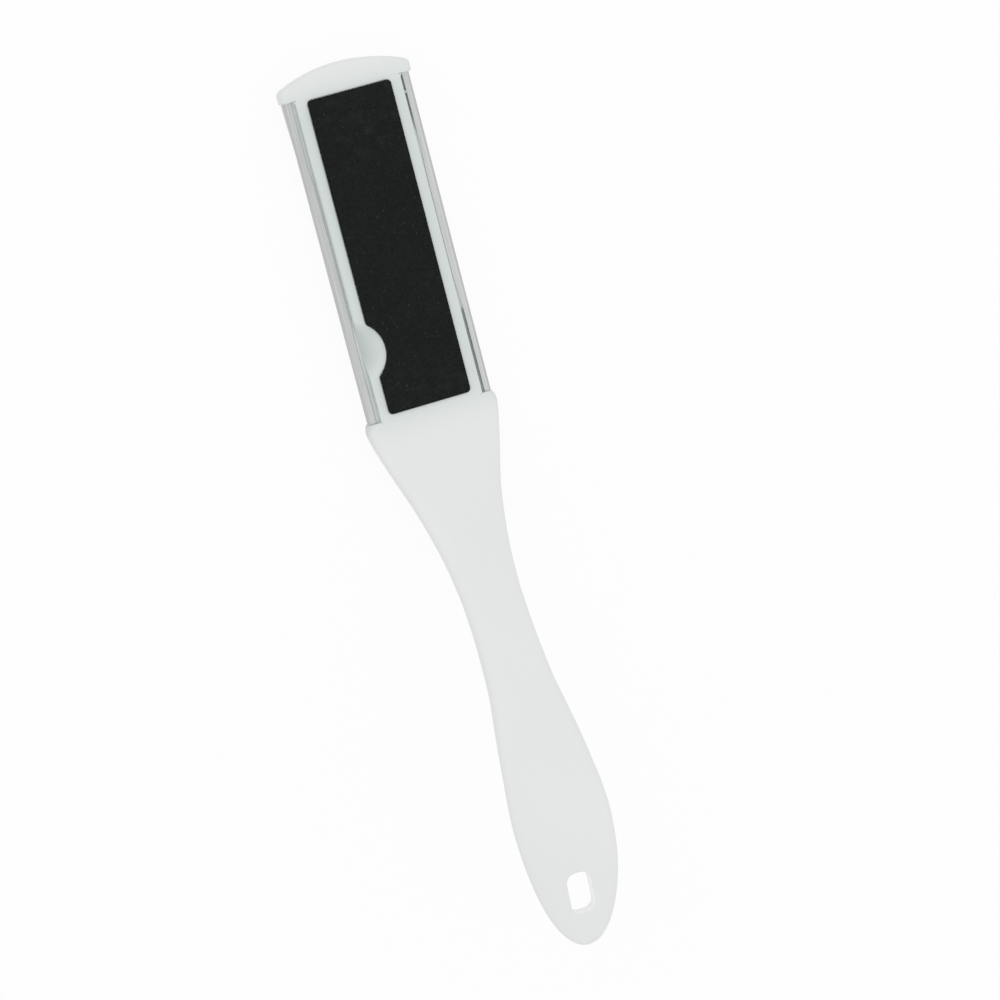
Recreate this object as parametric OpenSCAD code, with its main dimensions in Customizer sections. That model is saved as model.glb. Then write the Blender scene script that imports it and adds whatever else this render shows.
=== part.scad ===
// Two-sided foot file: a white moulded handle and head, a perforated rasp sheet clipped round the head's
// back, and a stuck-on abrasive sheet on its front.
// X runs across the head, Y along the file with the cap at +Y, and Z out of the abrasive side.
// The origin is under the middle of the whole file, at the height of the rasp teeth's tips.

/* [Head] */
// Length of the rasp sheet, and of the head between cap and shoulder
sheet_l = 91; // [75:1:110]
// Width of the rasp sheet outside its two side walls
sheet_w = 36.4; // [34:0.2:42]
// Height of the head, from the sheet's crown to the abrasive side
head_t = 7.9; // [7.5:0.1:9]
// Radius of the crown across the rasp side
crown_r = 85; // [70:1:140]
// Thickness of the moulded slab behind the abrasive
slab_t = 4; // [3.6:0.1:4.6]
// Thickness of the slab's side walls
wall_t = 1.8; // [1.4:0.1:2.4]
// Thickness of the arched ribs under the rasp sheet
rib_t = 1.4; // [1:0.1:2.4]
// Number of arched ribs
rib_count = 3; // [1:1:5]
// Gap between a lip of the rasp sheet and the raised face that carries the abrasive
lip_gap = 1.2; // [0.8:0.1:2]
// Depth of the two grooves beside the raised face
groove_d = 3; // [2.4:0.1:3.2]
// Distance of the groove nib from the cap
nib_place = 5.2; // [3:0.1:12]
// Length of the groove nib along the groove
nib_l = 0.9; // [0.5:0.1:2]

/* [Rasp sheet] */
// Thickness of the steel
sheet_t = 0.5; // [0.3:0.05:0.6]
// Radius of the bends between crown and side walls
low_bend_r = 1.3; // [1:0.1:2]
// Radius of the bends between side walls and lips
lip_bend_r = 1.2; // [0.9:0.1:1.4]
// Width of the flat lips, from the side walls to their edges
lip_w = 1.85; // [1.6:0.05:2.1]
// Drop of the lips below the abrasive side
lip_drop = 1.5; // [1.2:0.1:2]
// Hole columns across the crown
hole_cols = 23; // [15:2:25]
// Hole rows along the sheet
hole_rows = 53; // [31:2:55]
// Distance from the last row of holes to the shoulder
punch_low = 6.3; // [4:0.1:12]
// Distance from the first row of holes to the cap
punch_high = 5.2; // [4:0.1:12]
// Bore of a punched hole
hole_d = 1.1; // [0.8:0.05:1.15]
// Height of the raised rim round a hole
rim_h = 0.25; // [0.15:0.05:0.4]
// Outer width of the rim at the sheet
rim_base_d = 1.46; // [1.4:0.01:1.48]
// Outer width of the rim at its tip
rim_tip_d = 1.26; // [1.2:0.01:1.36]

/* [Cap] */
// Length of the cap along the middle
cap_l = 7.4; // [5.2:0.1:9]
// How far the cap stands out past the rasp sheet at each side
cap_step = 0.7; // [0.2:0.1:1.5]
// Radius of the cap's end, seen from the front
cap_r = 45; // [42:1:70]
// Radius of the cap's outer edge
cap_edge_r = 1; // [0.4:0.1:1.2]

/* [Handle] */
// Length from the shoulder to the tail
handle_l = 153.8; // [120:1:180]
// How far the shoulder stands out past the rasp sheet at each side
shoulder_step = 0.9; // [0.3:0.1:2]
// Width at the neck
neck_w = 17; // [13:0.1:22]
// Greatest width at the tail
tail_w = 28; // [24:0.1:32]
// Thickness at the neck
neck_t = 5.6; // [5:0.1:7]
// Thickness at the tail
tail_t = 4.4; // [4:0.1:6]
// Rise of the tail above the head
handle_rise = 32.6; // [10:0.2:36]
// Length over which the shoulder's corners round off, down to the sheet's side walls
shoulder_round = 3.2; // [2:0.1:6]
// Length over which the shoulder turns into the neck
blend_l = 36; // [25:1:50]
// Length of the rounding at the tail's very end
tip_l = 3.5; // [2:0.1:6]
// Half of the small flat at the tail's very end
tip_flat = 0.5; // [0.3:0.05:1]

/* [Hanging hole] */
// Width of the hole
hang_w = 6.7; // [5.4:0.1:9]
// Length of the hole
hang_l = 11.8; // [9:0.1:14]
// Corner radius of the hole
hang_r = 2.6; // [1:0.1:2.7]
// Distance from the tail's end to the middle of the hole
hang_place = 16.8; // [13:0.1:22]

/* [Abrasive] */
// Width of the abrasive sheet
pad_w = 23.8; // [20:0.1:26]
// Distance from the abrasive sheet to the shoulder
pad_margin = 1.55; // [1:0.05:4]
// Distance from the abrasive sheet to the cap
cap_margin = 0.65; // [0.4:0.05:4]
// Corner radius of the abrasive sheet
pad_r = 1.1; // [0.8:0.1:3]
// Thickness of the abrasive sheet with its grit
pad_t = 0.8; // [0.5:0.05:1.5]
// Thickness of the adhesive film
film_t = 0.2; // [0.1:0.05:0.4]
// How far the film stays inside the abrasive sheet's outline
film_inset = 0.3; // [0.1:0.05:0.5]
// Depth of the seat in the raised face
seat_d = 0.3; // [0.1:0.05:0.5]
// Clearance round the abrasive sheet in its seat
seat_gap = 0.15; // [0.05:0.05:0.3]
// Radius of the thumbnail notch
notch_r = 9.2; // [7:0.1:12]
// Depth of the thumbnail notch
notch_d = 3.7; // [2.5:0.1:5]
// Radius of the corners where the notch leaves the edge
notch_fillet_r = 1; // [0.6:0.1:2]
// Distance from the abrasive sheet's lower end to the notch's middle
notch_place = 18.3; // [14:0.1:60]
// Radius of the finger scoop beside the notch
scoop_r = 25; // [15:1:40]
// Depth of the scoop at the outer edge of the raised face
scoop_d = 1.5; // [0.8:0.1:1.8]

/* [Hidden] */

// Clearance between the sheet and the moulding it clips round
fit_gap = 0.1;
// Softening of the raised face's long edges
face_edge = 0.4;
// How far a cut runs past what it cuts, and how far a rim's root goes into the steel
overrun = 1;
rim_root = 0.2;
// Depth of the tongues that key the slab into cap and shoulder
tongue_l = 1.6;
// Points along an arc, round a lofted ring, and rings along the handle
arc_n = 6;
ring_n = 40;
ring_count = 38;
edge_rings = 4;

// Corner sharpness of the lofted sections: a high power is boxy, two is an ellipse
head_power = 8;
neck_power = 2.7;
// How strongly a ring's points gather at its corners, in degrees
gather = 7;
// Narrowing of a section towards front and back, where the mould's halves draw apart
draft_share = 0.01;
// Narrowing from shoulder to neck: [share of the handle's length, share of the width lost last]
shoulder_shares = [[0, 1], [0.02, 0.99], [0.052, 0.89], [0.105, 0.67], [0.157, 0.44], [0.209, 0.26],
    [0.275, 0.09], [0.343, 0]];
// Widening from neck to tail: [share of the handle's length, share of the width gained]
tail_shares = [[0.343, 0], [0.405, 0.01], [0.458, 0.08], [0.51, 0.2], [0.562, 0.43], [0.614, 0.64],
    [0.667, 0.82], [0.706, 0.94], [0.742, 1]];
// Rise of the middle of the handle: [share of the handle's length, share of the full rise]
rise_shares = [[0, 0], [0.052, 0.05], [0.105, 0.12], [0.157, 0.2], [0.209, 0.3], [0.275, 0.42],
    [0.343, 0.54], [0.405, 0.64], [0.484, 0.75], [0.562, 0.85], [0.641, 0.93], [0.719, 0.985],
    [0.784, 1], [0.85, 0.98], [0.915, 0.92], [1, 0.82]];
neck_share = 0.343;
wide_share = 0.742;
// Where the ledge under the lip ends, as a share of the way from the lip's edge to the face
ledge_share = 0.1;
// Height of a nib above the groove's floor, as a share of the groove's depth
nib_share = 0.45;

total_l = cap_l + sheet_l + handle_l;
shoulder_y = handle_l - total_l / 2;
cap_y = shoulder_y + sheet_l;
tip_y = cap_y + cap_l;
tail_y = shoulder_y - handle_l;

// Heights above the sheet's crown
lip_z = head_t - lip_drop;
ledge_z = lip_z - sheet_t - fit_gap;
slab_z = head_t - slab_t;
groove_z = head_t - groove_d;
seat_z = head_t - seat_d;
film_z = seat_z;
pad_z = film_z + film_t;

// Widths and half widths
cap_w = sheet_w + 2 * cap_step;
shoulder_w = sheet_w + 2 * shoulder_step;
sheet_half = sheet_w / 2;
core_gap = sheet_t + fit_gap;
core_half = sheet_half - core_gap;
lip_edge = sheet_half - lip_w;
face_half = lip_edge - lip_gap;
ledge_edge = lip_edge - lip_gap * ledge_share;
chip_half = core_half - wall_t;

pad_low = shoulder_y + pad_margin;
pad_high = cap_y - cap_margin;
notch_y = pad_low + notch_place;
notch_x = notch_d - pad_w / 2 - notch_r;
hang_y = tail_y + hang_place;

// Lines and arcs
function arc(c, r, a, b, n) = [for (i = [0 : n]) c + r * [cos(a + (b - a) * i / n), sin(a + (b - a) * i / n)]];
function flip(pts) = [for (i = [len(pts) - 1 : -1 : 0]) [-pts[i].x, pts[i].y]];
function back(pts) = [for (i = [len(pts) - 1 : -1 : 0]) pts[i]];
function ease(u) = let (v = min(max(u, 0), 1)) v * v * (3 - 2 * v);

// A smooth curve through a table of [place, value] pairs, read at place x
function slope(t, i) = let (a = max(i - 1, 0), b = min(i + 1, len(t) - 1)) (t[b].y - t[a].y) / (t[b].x - t[a].x);
function gap_at(t, x, i = 0) = i + 2 >= len(t) || x < t[i + 1].x ? i : gap_at(t, x, i + 1);
function along(t, x) =
    let (i = gap_at(t, x), d = t[i + 1].x - t[i].x, u = (x - t[i].x) / d, h = ease(u))
    t[i].y * (1 - h) + t[i + 1].y * h + d * u * (1 - u) * ((1 - u) * slope(t, i) - u * slope(t, i + 1));

// Head section, drawn with X across and Y for height above the crown
function bend_a(half, r) = asin((half - r) / (crown_r - r));
function bend_z(half, r) = crown_r - sqrt(pow(crown_r - r, 2) - pow(half - r, 2));
crown_a = bend_a(sheet_half, low_bend_r);

function crown(inset) = arc([0, crown_r], crown_r - inset, -90 - crown_a, -90 + crown_a, hole_cols);
function side(inset, top) = concat(
    arc([sheet_half - low_bend_r, bend_z(sheet_half, low_bend_r)], low_bend_r - inset, crown_a - 90, 0, arc_n),
    arc([sheet_half - lip_bend_r, top - lip_bend_r], lip_bend_r - inset, 0, 90, arc_n));
function shell(inset) = let (s = concat(side(inset, lip_z), [[lip_edge, lip_z - inset]]))
    concat(flip(s), crown(inset), s);

// Runs a section along the head between two places
module run(from, to) {
    translate([0, to, rim_h])
        rotate([90, 0, 0])
            linear_extrude(to - from) children();
}

// Lofted sections
function turn(i) = let (p = 360 * i / ring_n) p + gather * sin(4 * p);
function spot(a, power) = [cos(a), sin(a)] / pow(pow(abs(cos(a)), power) + pow(abs(sin(a)), power), 1 / power);
function ring(half_w, half_t, mid, power, sag) = [for (i = [0 : ring_n - 1]) let (p = spot(turn(i), power))
    [half_w * p.x * (1 - draft_share * p.y * p.y), mid + half_t * p.y + sag * p.x * p.x * max(-p.y, 0)]];

// One closed skin over rings that follow each other towards -Y, each closed end in strips across
module loft(rings) {
    n = len(rings[0]);
    last = n * (len(rings) - 1);
    sides = [for (j = [0 : len(rings) - 2]) for (i = [0 : n - 1])
        let (a = j * n + i, b = j * n + (i + 1) % n) each [[a + n, b + n, b], [a + n, b, a]]];
    strips = concat([[0, 1, n - 1], [n / 2 - 1, n / 2, n / 2 + 1]],
        [for (i = [1 : n / 2 - 2]) each [[i, i + 1, n - i - 1], [i, n - i - 1, n - i]]]);
    ends = [for (s = strips) [s[2] + last, s[1] + last, s[0] + last]];
    polyhedron([for (r = rings) each r], concat(sides, strips, ends), convexity = 4);
}

// Handle: half width, half thickness and height of the middle, at a share of its length
function tail_end(u) = sqrt(max(1 - pow(max(u - wide_share, 0) / (1 - wide_share), 2), 0));
function corner(u) = (shoulder_step - fit_gap) * pow(max(1 - u * handle_l / shoulder_round, 0), 2);
function half_w(u) = max(tip_flat, (u < neck_share
    ? neck_w + (shoulder_w - neck_w) * along(shoulder_shares, u)
    : neck_w + (tail_w - neck_w) * along(tail_shares, min(u, wide_share))) / 2 * tail_end(u) - corner(u));
function tip_round(u) = sqrt(max(1 - pow(max(u * handle_l - handle_l + tip_l, 0) / tip_l, 2), 0));
function half_t(u) = max(tip_flat, (neck_t
    + (head_t - neck_t) * (1 - ease(u * handle_l / blend_l))
    + (tail_t - neck_t) * ease((u - neck_share) / (1 - neck_share))) / 2 * tip_round(u));
function middle(u) = head_t / 2 + handle_rise * along(rise_shares, u);

module handle() {
    rings = [for (j = [0 : ring_count]) let (u = (1 - cos(180 * j / ring_count)) / 2,
        b = 1 - ease(u * handle_l / blend_l), power = neck_power + (head_power - neck_power) * b,
        sag = b * pow(shoulder_w, 2) / crown_r / 8)
        [for (p = ring(half_w(u), half_t(u), middle(u), power, sag)) [p.x, shoulder_y - u * handle_l, p.y + rim_h]]];
    loft(rings);
}

// Cap: the head's section again, its end an arc seen from the front, with a rounded edge
function cap_end(x) = tip_y - cap_r + sqrt(pow(cap_r, 2) - x * x);
module cap() {
    edge = [for (j = [0 : edge_rings]) let (a = 90 - 90 * j / edge_rings, inset = cap_edge_r * (1 - cos(a)))
        [for (p = ring(cap_w / 2 - inset, head_t / 2 - inset, head_t / 2, head_power, pow(cap_w, 2) / crown_r / 8))
            [p.x, cap_end(p.x) - cap_edge_r * (1 - sin(a)), p.y + rim_h]]];
    foot = [for (p = edge[edge_rings]) [p.x, cap_y, p.z]];
    loft(concat(edge, [foot]));
}

// Slab: side walls under the sheet, a ledge under each lip, the raised face, and the chip space behind it
module core_section() {
    s = side(core_gap, ledge_z + core_gap);
    polygon(concat(flip(s), crown(core_gap), s));
}

module face_section() {
    polygon([[-face_half, slab_z], [face_half, slab_z], [face_half, head_t - face_edge],
        [face_half - face_edge, head_t], [face_edge - face_half, head_t], [-face_half, head_t - face_edge]]);
}

module grooves_section() {
    for (s = [0, 1]) mirror([s, 0])
        translate([face_half, groove_z])
            square([ledge_edge - face_half, groove_d]);
}

module chip_section() {
    translate([-chip_half, -overrun])
        square([2 * chip_half, slab_z + overrun]);
}

module slab() {
    run(shoulder_y, cap_y)
        difference() {
            union() {
                core_section();
                face_section();
            }
            grooves_section();
            chip_section();
        }
    step = sheet_l / (rib_count + 1);
    for (i = [1 : rib_count])
        run(shoulder_y + i * step - rib_t / 2, shoulder_y + i * step + rib_t / 2)
            difference() {
                core_section();
                translate([-face_half, slab_z])
                    square([2 * face_half, head_t]);
                grooves_section();
            }
    run(shoulder_y - tongue_l, cap_y + tongue_l)
        translate([-chip_half, slab_z])
            square([2 * chip_half, groove_z - slab_z]);
}

// Nib that keeps the right lip off the raised face, ending just short of the lip
module nib() {
    translate([face_half - face_edge, cap_y - nib_place - nib_l / 2, groove_z - fit_gap + rim_h])
        cube([(lip_edge + ledge_edge) / 2 - face_half + face_edge, nib_l, fit_gap + groove_d * nib_share]);
}

// Outline of the abrasive sheet, grown by a margin
function pad_outline(grow) =
    let (x = pad_w / 2 + grow, r = pad_r + grow, f = notch_fillet_r + grow, low = pad_low - grow + r,
        high = pad_high + grow - r, nr = notch_r - grow, fx = f - x, dy = sqrt(pow(nr + f, 2) - pow(fx - notch_x, 2)),
        b = atan2(dy, fx - notch_x))
    concat(
        arc([x - r, low], r, -90, 0, arc_n),
        arc([x - r, high], r, 0, 90, arc_n),
        arc([r - x, high], r, 90, 180, arc_n),
        arc([fx, notch_y + dy], f, 180, 180 + b, arc_n),
        arc([notch_x, notch_y], nr, b, -b, 2 * arc_n),
        arc([fx, notch_y - dy], f, 180 - b, 180, arc_n),
        arc([r - x, low], r, 180, 270, arc_n));

module pad_seat() {
    translate([0, 0, seat_z + rim_h])
        linear_extrude(seat_d + overrun)
            polygon(pad_outline(seat_gap));
}

// Finger scoop: deepest at the outer edge of the raised face, running out at the notch's deepest point
module scoop() {
    reach = notch_x + notch_r + face_half;
    tilt = atan2(scoop_d, reach);
    translate([notch_x + notch_r, notch_y, head_t + rim_h])
        rotate([0, -tilt, 0])
            translate([-reach / cos(tilt) - (ledge_edge - face_half) / 2, 0, scoop_r])
                rotate([0, 90, 0])
                    cylinder(h = reach / cos(tilt), r = scoop_r, $fn = 96);
}

module hanging_hole() {
    translate([0, hang_y, 0])
        linear_extrude(rim_h + head_t + handle_rise + tail_t) {
            square([hang_w - 2 * hang_r, hang_l], center = true);
            square([hang_w, hang_l - 2 * hang_r], center = true);
            for (x = [-1, 1]) for (y = [-1, 1])
                translate([x * (hang_w / 2 - hang_r), y * (hang_l / 2 - hang_r)])
                    circle(hang_r, $fn = 32);
        }
}

module handle_body() {
    color([0.89, 0.9, 0.89])
        difference() {
            union() {
                handle();
                cap();
                slab();
                nib();
            }
            pad_seat();
            scoop();
            hanging_hole();
        }
}

// Rasp sheet: one bent strip, holes on a lattice turned by half a pitch, each with a raised rim
module at_holes() {
    step_a = 2 * crown_a / hole_cols;
    step_y = (sheet_l - punch_low - punch_high) / (hole_rows - 1);
    for (row = [0 : hole_rows - 1]) for (col = [0 : hole_cols - 1])
        if ((col + row) % 2 == 0)
            translate([0, shoulder_y + punch_low + row * step_y, crown_r + rim_h])
                rotate([0, crown_a - (col + 0.5) * step_a, 0])
                    translate([0, 0, -crown_r]) children();
}

module rasp_sheet() {
    color([0.74, 0.75, 0.75])
        difference() {
            union() {
                run(shoulder_y + fit_gap, cap_y - fit_gap)
                    polygon(concat(shell(0), back(shell(sheet_t))));
                at_holes()
                    translate([0, 0, -rim_h])
                        cylinder(h = rim_h + rim_root, d1 = rim_tip_d, d2 = rim_base_d, $fn = 16);
            }
            at_holes()
                translate([0, 0, -rim_h - overrun])
                    cylinder(h = rim_h + sheet_t + 2 * overrun, d = hole_d, $fn = 16);
        }
}

module abrasive_sheet() {
    color([0.12, 0.13, 0.13])
        translate([0, 0, pad_z + rim_h])
            linear_extrude(pad_t)
                polygon(pad_outline(0));
}

module adhesive_film() {
    color([0.85, 0.84, 0.78])
        translate([0, 0, film_z + rim_h])
            linear_extrude(film_t)
                polygon(pad_outline(-film_inset));
}

handle_body();
rasp_sheet();
abrasive_sheet();
adhesive_film();
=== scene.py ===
"""Two-sided foot file: the looks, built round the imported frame.

Sizes are in millimetres and named as in the part's source. They turn into metres where a mesh is made.
X runs across the head, Y towards the cap, and Z out of the abrasive side.
"""
import math

import bmesh
import bpy
import numpy as np
from mathutils import Matrix, Vector, geometry


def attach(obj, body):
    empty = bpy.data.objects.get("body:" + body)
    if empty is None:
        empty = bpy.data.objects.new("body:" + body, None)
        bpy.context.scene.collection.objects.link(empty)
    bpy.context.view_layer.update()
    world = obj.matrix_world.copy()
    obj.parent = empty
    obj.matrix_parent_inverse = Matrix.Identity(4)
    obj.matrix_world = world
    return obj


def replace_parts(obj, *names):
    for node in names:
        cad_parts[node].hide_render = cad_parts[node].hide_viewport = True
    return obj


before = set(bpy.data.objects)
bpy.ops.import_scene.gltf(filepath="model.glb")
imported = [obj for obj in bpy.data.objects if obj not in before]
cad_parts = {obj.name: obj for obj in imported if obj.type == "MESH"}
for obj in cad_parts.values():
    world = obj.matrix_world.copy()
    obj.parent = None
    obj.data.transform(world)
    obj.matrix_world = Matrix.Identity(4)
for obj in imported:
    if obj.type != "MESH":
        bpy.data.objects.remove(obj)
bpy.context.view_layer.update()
MM = 0.001

# Sizes
SHEET_L, SHEET_W, HEAD_T, CROWN_R = 91.0, 36.4, 7.9, 85.0
SLAB_T, WALL_T, RIB_T, RIB_COUNT = 4.0, 1.8, 1.4, 3
LIP_GAP, GROOVE_D, NIB_PLACE, NIB_L, NIB_SHARE = 1.2, 3.0, 5.2, 0.9, 0.45
SHEET_T, LOW_BEND_R, LIP_BEND_R, LIP_W, LIP_DROP = 0.5, 1.3, 1.2, 1.85, 1.5
HOLE_COLS, HOLE_ROWS, PUNCH_LOW, PUNCH_HIGH = 23, 53, 6.3, 5.2
HOLE_R, RIM_H = 0.55, 0.25
CAP_L, CAP_STEP, CAP_R, CAP_EDGE_R = 7.4, 0.7, 45.0, 1.0
HANDLE_L, SHOULDER_STEP, NECK_W, TAIL_W = 153.8, 0.9, 17.0, 28.0
NECK_T, TAIL_T, RISE, BLEND_L, TIP_L, TIP_FLAT = 5.6, 4.4, 32.6, 36.0, 3.5, 0.5
SHOULDER_ROUND = 3.2
HANG_W, HANG_L, HANG_R, HANG_PLACE = 6.7, 11.8, 2.6, 16.8
PAD_W, PAD_MARGIN, CAP_MARGIN, PAD_R, PAD_T = 23.8, 1.55, 0.65, 1.1, 0.8
FILM_T, SEAT_D, SEAT_GAP = 0.2, 0.3, 0.15
NOTCH_R, NOTCH_D, NOTCH_FILLET_R, NOTCH_PLACE = 9.2, 3.7, 1.0, 18.3
SCOOP_R, SCOOP_D = 25.0, 1.5
FIT_GAP, FACE_EDGE = 0.1, 0.4
HEAD_POWER, NECK_POWER, DRAFT_SHARE = 8.0, 2.7, 0.01
NECK_SHARE, WIDE_SHARE, LEDGE_SHARE = 0.343, 0.742, 0.1
SHOULDER_SHARES = [(0, 1), (0.02, 0.99), (0.052, 0.89), (0.105, 0.67), (0.157, 0.44), (0.209, 0.26),
                   (0.275, 0.09), (0.343, 0)]
TAIL_SHARES = [(0.343, 0), (0.405, 0.01), (0.458, 0.08), (0.51, 0.2), (0.562, 0.43), (0.614, 0.64),
               (0.667, 0.82), (0.706, 0.94), (0.742, 1)]
RISE_SHARES = [(0, 0), (0.052, 0.05), (0.105, 0.12), (0.157, 0.2), (0.209, 0.3), (0.275, 0.42),
               (0.343, 0.54), (0.405, 0.64), (0.484, 0.75), (0.562, 0.85), (0.641, 0.93), (0.719, 0.985),
               (0.784, 1), (0.85, 0.98), (0.915, 0.92), (1, 0.82)]

# Softening of edges that the part's source leaves sharp
SHOULDER_EDGE, CAP_FOOT_EDGE, HOLE_EDGE, SEAT_EDGE, PAD_EDGE, NIB_EDGE = 0.25, 0.4, 0.8, 0.1, 0.09, 0.2
# Fillet where the face starts to rise at the shoulder, and how long the handle's front fades out of flat
RISE_FILLET, FLAT_L = 1.3, 8.0
# Gap at the rasp sheet's ends
END_GAP = 0.03
# Rails: sweep out to the grooves' walls at the cap, worn roll of the left one's edge, and how much that
# one narrows towards the shoulder, from which distance under the notch's middle, over which length
SWEEP_L = 1.1
ROLL_FROM, ROLL_D = 13.7, 0.6
NARROW_D, NARROW_FROM, NARROW_L = 0.5, 1.0, 7.0
# Finger scoop: length and power of its steeper end, softness and fade of its rim, its reach along Y, the
# part of it with close rings, and how far it stays above the groove's floor
SCOOP_END_L, SCOOP_END_POWER, SCOOP_SOFT, SCOOP_RIM, SCOOP_FADE = 9.3, 4, 0.04, 0.6, 0.5
SCOOP_REACH, SCOOP_NEAR, SCOOP_FLOOR = 11.0, 10.5, 0.05
# Groove floors, as depths under the lips: the right one and its lift, the left one and its dip
RIGHT_FLOOR, RIGHT_LIFT, LEFT_FLOOR, LEFT_DIP = 1.0, 0.86, 0.12, 0.1
# Slot along the left lip: depth, distance from the cap, fade, step in from the lip and least width
SLOT_D, SLOT_FROM, SLOT_FADE, SLOT_IN, SLOT_LEAST = 0.4, 25.0, 8.0, 0.1, 0.02
# How far the lips spring in: everywhere, between their ends, and beyond (left) or short of (right) a
# distance from the cap
LEFT_SPRING, LEFT_BULGE, LEFT_FAR, LEFT_FAR_FROM = 0.25, 0.15, 0.3, 17.0
RIGHT_SPRING, RIGHT_BULGE, RIGHT_NEAR, RIGHT_NEAR_FROM = 0.15, 0.55, 0.2, 26.0
SPRING_FADE = 8.0
# How far the side walls lean in, and the length over which the lean grows from the cap
WALL_LEAN, LEAN_L = 0.65, 22.0
# How far the ribs sink into the side walls and into the slab
RIB_SINK, RIB_ROOT = 0.4, 0.3
# How far the cutter of the hanging hole reaches past the skin, and the share of the width it follows
CUT_OVER, SKIN_SHARE = 1.5, 0.95
# Punched rims: distance beyond the hole and share of the height, then mean share and lobes' range
RIM_SHARES = [(0, 0.8), (0.045, 1), (0.1, 0.85), (0.2, 0.3), (0.33, 0.03)]
RIM_MEAN, LOBE_LOW, LOBE_HIGH, HOLE_N = 0.88, 0.04, 0.12, 16
# Grit: spacing, its uneven shift, distance kept from the edge, depth and its power, and the edge's drop
GRIT_STEP, GRIT_SHIFT, GRIT_CLEAR, GRIT_D, GRIT_POWER, RIM_DROP = 0.36, 0.13, 0.16, 0.1, 1.6, 0.03
# Distances at which points are joined
WELD, SHEET_WELD, GRIT_WELD, FINE_WELD = 0.002, 0.004, 0.001, 0.0005
# Numbers of rings: round the cap's end, round its foot, along the rails' sweep, along the head, past the
# finger scoop, short of the shoulder, round the shoulder's edge and along the handle
CAP_EDGE_N, CAP_FOOT_N, SWEEP_N, HEAD_N = 9, 4, 9, 50
SCOOP_N, LOW_HEAD_N, SHOULDER_N, HANDLE_N = 71, 12, 5, 151
# Numbers of points: along a rib's arch, round a corner of the hanging hole, along the sheet at either end,
# and across the sheet from the last hole round the lower bend, up the wall, round the lip's bend and
# along the lip
RIB_N, HANG_N, END_N, SIDE_COUNTS = 25, 10, 4, (6, 4, 9, 3)
# Least distance from the shoulder's edge to the handle's first ring
RING_GAP = 0.2
# Search for a plain section's angles: its steps, the degrees either side of level that it leaves out, and
# the share of the hollow's half width within which the ceiling's points are even
SEARCH_N, SEARCH_CLEAR, EVEN_SHARE = 18001, 4.005, 0.96
# Seeds of the uneven rims and of the grit
RIM_SEED, GRIT_SEED = 11, 5

TOTAL_L = CAP_L + SHEET_L + HANDLE_L
SHOULDER_Y = HANDLE_L - TOTAL_L / 2
CAP_Y = SHOULDER_Y + SHEET_L
CAP_W, SHOULDER_W = SHEET_W + 2 * CAP_STEP, SHEET_W + 2 * SHOULDER_STEP
TIP_Y = CAP_Y + CAP_L
TAIL_Y = SHOULDER_Y - HANDLE_L
LIP_Z = HEAD_T - LIP_DROP
LEDGE_Z = LIP_Z - SHEET_T - FIT_GAP
SLAB_Z = HEAD_T - SLAB_T
GROOVE_Z = HEAD_T - GROOVE_D
SEAT_Z = HEAD_T - SEAT_D
SHEET_HALF = SHEET_W / 2
CORE_GAP = SHEET_T + FIT_GAP
CORE_HALF = SHEET_HALF - CORE_GAP
LIP_EDGE = SHEET_HALF - LIP_W
FACE_HALF = LIP_EDGE - LIP_GAP
LEDGE_EDGE = LIP_EDGE - LIP_GAP * LEDGE_SHARE
CHIP_HALF = CORE_HALF - WALL_T
PAD_LOW = SHOULDER_Y + PAD_MARGIN
PAD_HIGH = CAP_Y - CAP_MARGIN
NOTCH_Y = PAD_LOW + NOTCH_PLACE
NOTCH_X = NOTCH_D - PAD_W / 2 - NOTCH_R
# Stretches along the head, each by the places where it starts, is full, starts to fade and has gone
ROLL_SPAN = (NOTCH_Y + 4, NOTCH_Y + 10, CAP_Y - 24, CAP_Y - 18)
RIGHT_FLOOR_SPAN = (NOTCH_Y + 2, NOTCH_Y + 6, CAP_Y - 19, CAP_Y - 9)
LEFT_LIP_SPAN = (NOTCH_Y, NOTCH_Y + 10, CAP_Y - 25, CAP_Y - 17)
RIGHT_LIP_SPAN = (NOTCH_Y + 2, NOTCH_Y + 14, CAP_Y - 28, CAP_Y - 19)
HANG_Y = TAIL_Y + HANG_PLACE
CROWN_A = math.asin((SHEET_HALF - LOW_BEND_R) / (CROWN_R - LOW_BEND_R))
BEND_Z = CROWN_R - math.sqrt((CROWN_R - LOW_BEND_R) ** 2 - (SHEET_HALF - LOW_BEND_R) ** 2)


# Curves
def ease(u):
    v = np.clip(u, 0, 1)
    return v * v * (3 - 2 * v)


def along(table, x):
    """A smooth curve through a table of (place, value) pairs, read at the places x."""
    t = np.array(table, float)
    x = np.clip(x, t[0, 0], t[-1, 0])
    low = np.maximum(np.arange(len(t)) - 1, 0)
    high = np.minimum(np.arange(len(t)) + 1, len(t) - 1)
    slope = (t[high, 1] - t[low, 1]) / (t[high, 0] - t[low, 0])
    i = np.clip(np.searchsorted(t[:, 0], x, side="right") - 1, 0, len(t) - 2)
    d = t[i + 1, 0] - t[i, 0]
    u = (x - t[i, 0]) / d
    h = ease(u)
    bend = d * u * (1 - u) * ((1 - u) * slope[i] - u * slope[i + 1])
    return t[i, 1] * (1 - h) + t[i + 1, 1] * h + bend


def line(a, b, n):
    """n points from a to b, without a itself."""
    return [(a[0] + (b[0] - a[0]) * k / n, a[1] + (b[1] - a[1]) * k / n) for k in range(1, n + 1)]


def arc(centre, r, start, end, n):
    """n + 1 points on an arc, angles in degrees."""
    angles = [math.radians(start + (end - start) * k / n) for k in range(n + 1)]
    return [(centre[0] + r * math.cos(a), centre[1] + r * math.sin(a)) for a in angles]


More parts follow.
